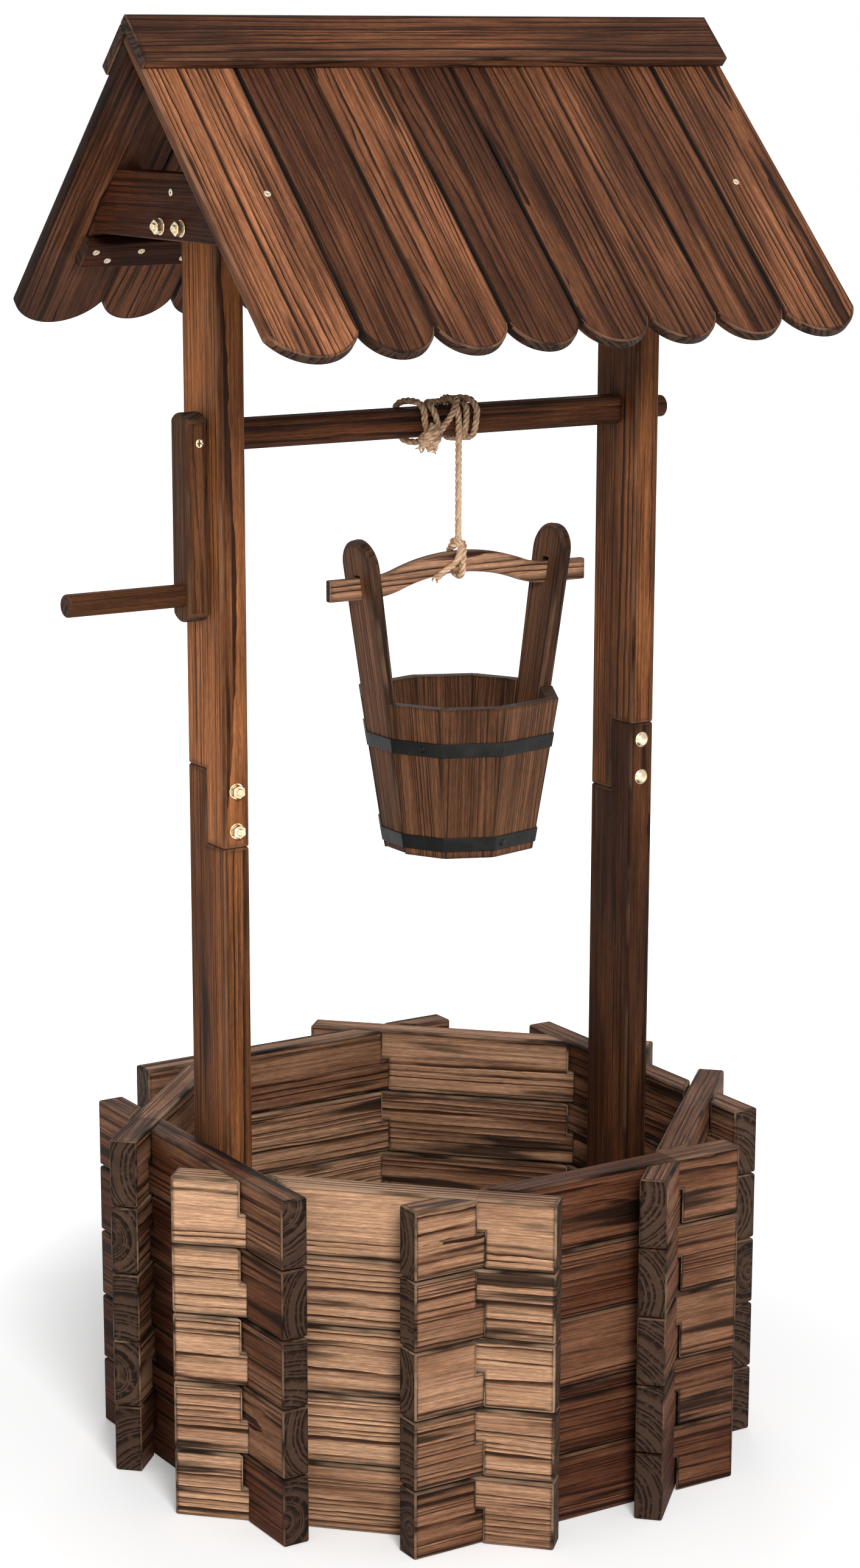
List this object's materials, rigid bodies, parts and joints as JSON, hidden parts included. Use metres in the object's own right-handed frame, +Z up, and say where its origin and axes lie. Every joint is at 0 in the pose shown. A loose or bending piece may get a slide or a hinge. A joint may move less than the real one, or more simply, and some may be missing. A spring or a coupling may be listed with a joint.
{
  "type": "wishing well planter",
  "caption": "Garden planter shaped as a wishing well: octagonal wall of half-lapped boards, two posts, a gabled board roof, and a crank windlass that raises a coopered bucket on a rope.",
  "frame": {"origin": "on the floor at the middle of the octagonal planter", "axes": "+Z up; +X to the right and +Y to the back, as seen from the side where the rope hangs; the ridge, the axle and the line of the two posts run along X; the crank is at -X"},
  "size_m": [0.5977, 0.5436, 1.1713],
  "materials": {
    "roof_wood": "burnt and stained, matt",
    "wall_wood": "burnt, brushed and stained, matt",
    "floor_wood": "sawn, matt",
    "post_wood": "burnt, brushed and stained, matt",
    "windlass_wood": "dark stain, satin",
    "bucket_wood": "burnt and stained, matt",
    "rope": "twisted natural fibre",
    "hoop_steel": "satin black",
    "yellow_zinc": "yellow zinc plate"
  },
  "bodies": {
    "stand": {"collar_bolts": "yellow_zinc", "collar_left": "post_wood", "collar_right": "post_wood", "floor_bearers": "floor_wood", "floor_slats": "floor_wood", "lap_bolts": "yellow_zinc", "lower_batten_back": "roof_wood", "lower_batten_front": "roof_wood", "lower_post_left": "post_wood", "lower_post_right": "post_wood", "nuts": "yellow_zinc", "ridge_cap_back": "roof_wood", "ridge_cap_front": "roof_wood", "roof_back_board_1": "roof_wood", "roof_back_board_2": "roof_wood", "roof_back_board_3": "roof_wood", "roof_back_board_4": "roof_wood", "roof_back_board_5": "roof_wood", "roof_back_board_6": "roof_wood", "roof_back_board_7": "roof_wood", "roof_back_board_8": "roof_wood", "roof_front_board_1": "roof_wood", "roof_front_board_2": "roof_wood", "roof_front_board_3": "roof_wood", "roof_front_board_4": "roof_wood", "roof_front_board_5": "roof_wood", "roof_front_board_6": "roof_wood", "roof_front_board_7": "roof_wood", "roof_front_board_8": "roof_wood", "upper_batten_back": "roof_wood", "upper_batten_front": "roof_wood", "upper_post_left": "post_wood", "upper_post_right": "post_wood", "wall_back": "wall_wood", "wall_back_left": "wall_wood", "wall_back_right": "wall_wood", "wall_front": "wall_wood", "wall_front_left": "wall_wood", "wall_front_right": "wall_wood", "wall_left": "wall_wood", "wall_right": "wall_wood", "washers": "yellow_zinc"},
    "windlass": {"axle": "windlass_wood", "crank_arm": "windlass_wood", "crank_handle": "windlass_wood", "axle_pin": "yellow_zinc", "rope_winding": "rope"},
    "hoist_rope": {"hanging_rope": "rope"},
    "rope_foot": {"rope_end": "rope"},
    "bucket": {"bucket_staves": "bucket_wood", "tall_stave_left": "bucket_wood", "tall_stave_right": "bucket_wood", "bucket_bottom": "bucket_wood", "hoop_upper": "hoop_steel", "hoop_lower": "hoop_steel", "bucket_bail": "bucket_wood", "bail_knot": "rope"}
  },
  "joints": [
    {"name": "windlass_turn", "type": "hinge", "parent": "stand", "child": "windlass", "pos_m": [0, 0, 0.858], "axis": [-1, 0, 0], "range_deg": [-720, 150]},
    {"name": "rope_swing", "type": "hinge", "parent": "stand", "child": "hoist_rope", "pos_m": [0.018, -0.017, 0.858], "axis": [1, 0, 0], "range_deg": [-15, 15]},
    {"name": "hoist", "type": "slide", "parent": "hoist_rope", "child": "rope_foot", "axis": [0, 0, 1], "range_m": [-0.2137, 0.0446], "deforming": ["hanging_rope"]},
    {"name": "bucket_swing", "type": "hinge", "parent": "rope_foot", "child": "bucket", "pos_m": [0.018, -0.017, 0.7668], "axis": [0, 1, 0], "range_deg": [-15, 15]}
  ],
  "couplings": [
    {"joint": "hoist", "follows": "windlass_turn", "m_per_rad": 0.017}
  ]
}
